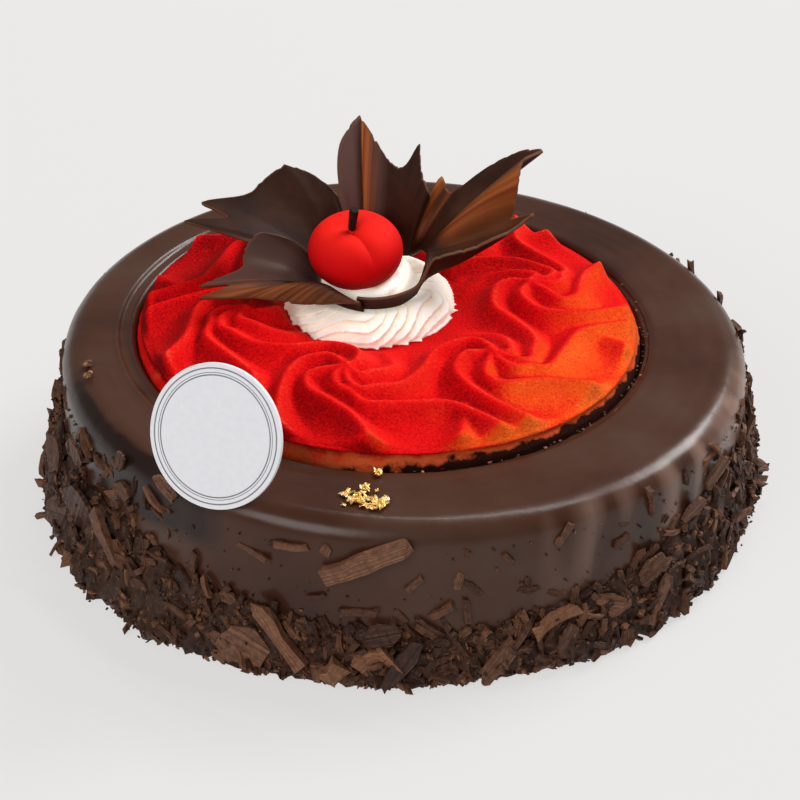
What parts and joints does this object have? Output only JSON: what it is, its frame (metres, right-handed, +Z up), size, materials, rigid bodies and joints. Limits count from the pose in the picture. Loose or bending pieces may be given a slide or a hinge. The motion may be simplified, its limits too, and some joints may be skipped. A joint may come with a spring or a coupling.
{
  "type": "black forest cake",
  "caption": "Round glazed chocolate cake with a red wave-relief top, cream rosette, curled chocolate petals, a cherry and shavings round its foot.",
  "frame": {"origin": "centre of the cake's flat underside", "axes": "+Z up out of the cake's top; -Y towards the front, where the plaque stands at the left and the red disc is nearest to the rim"},
  "size_m": [0.1978, 0.1918, 0.0934],
  "materials": {
    "chocolate_glaze": "smooth dark chocolate mirror glaze, glossy",
    "chocolate_shavings": "matt dark chocolate shavings with striated faces",
    "red_velvet": "matt red cocoa-butter velvet spray on moulded mousse, paler orange towards the front right rim",
    "whipped_cream": "soft off-white whipped cream",
    "dark_chocolate": "set dark chocolate with a satin sheen",
    "cherry_velvet": "matt red velvet spray",
    "white_card": "smooth pale card with plain thin grey rings"
  },
  "bodies": {
    "root": {"cake_body": "chocolate_glaze", "shaving_band": "chocolate_shavings", "velvet_disc": "red_velvet", "cream_rosette": "whipped_cream", "chocolate_flower": "dark_chocolate", "cherry": "cherry_velvet", "cherry_stem": "dark_chocolate", "plaque": "white_card"}
  },
  "joints": []
}
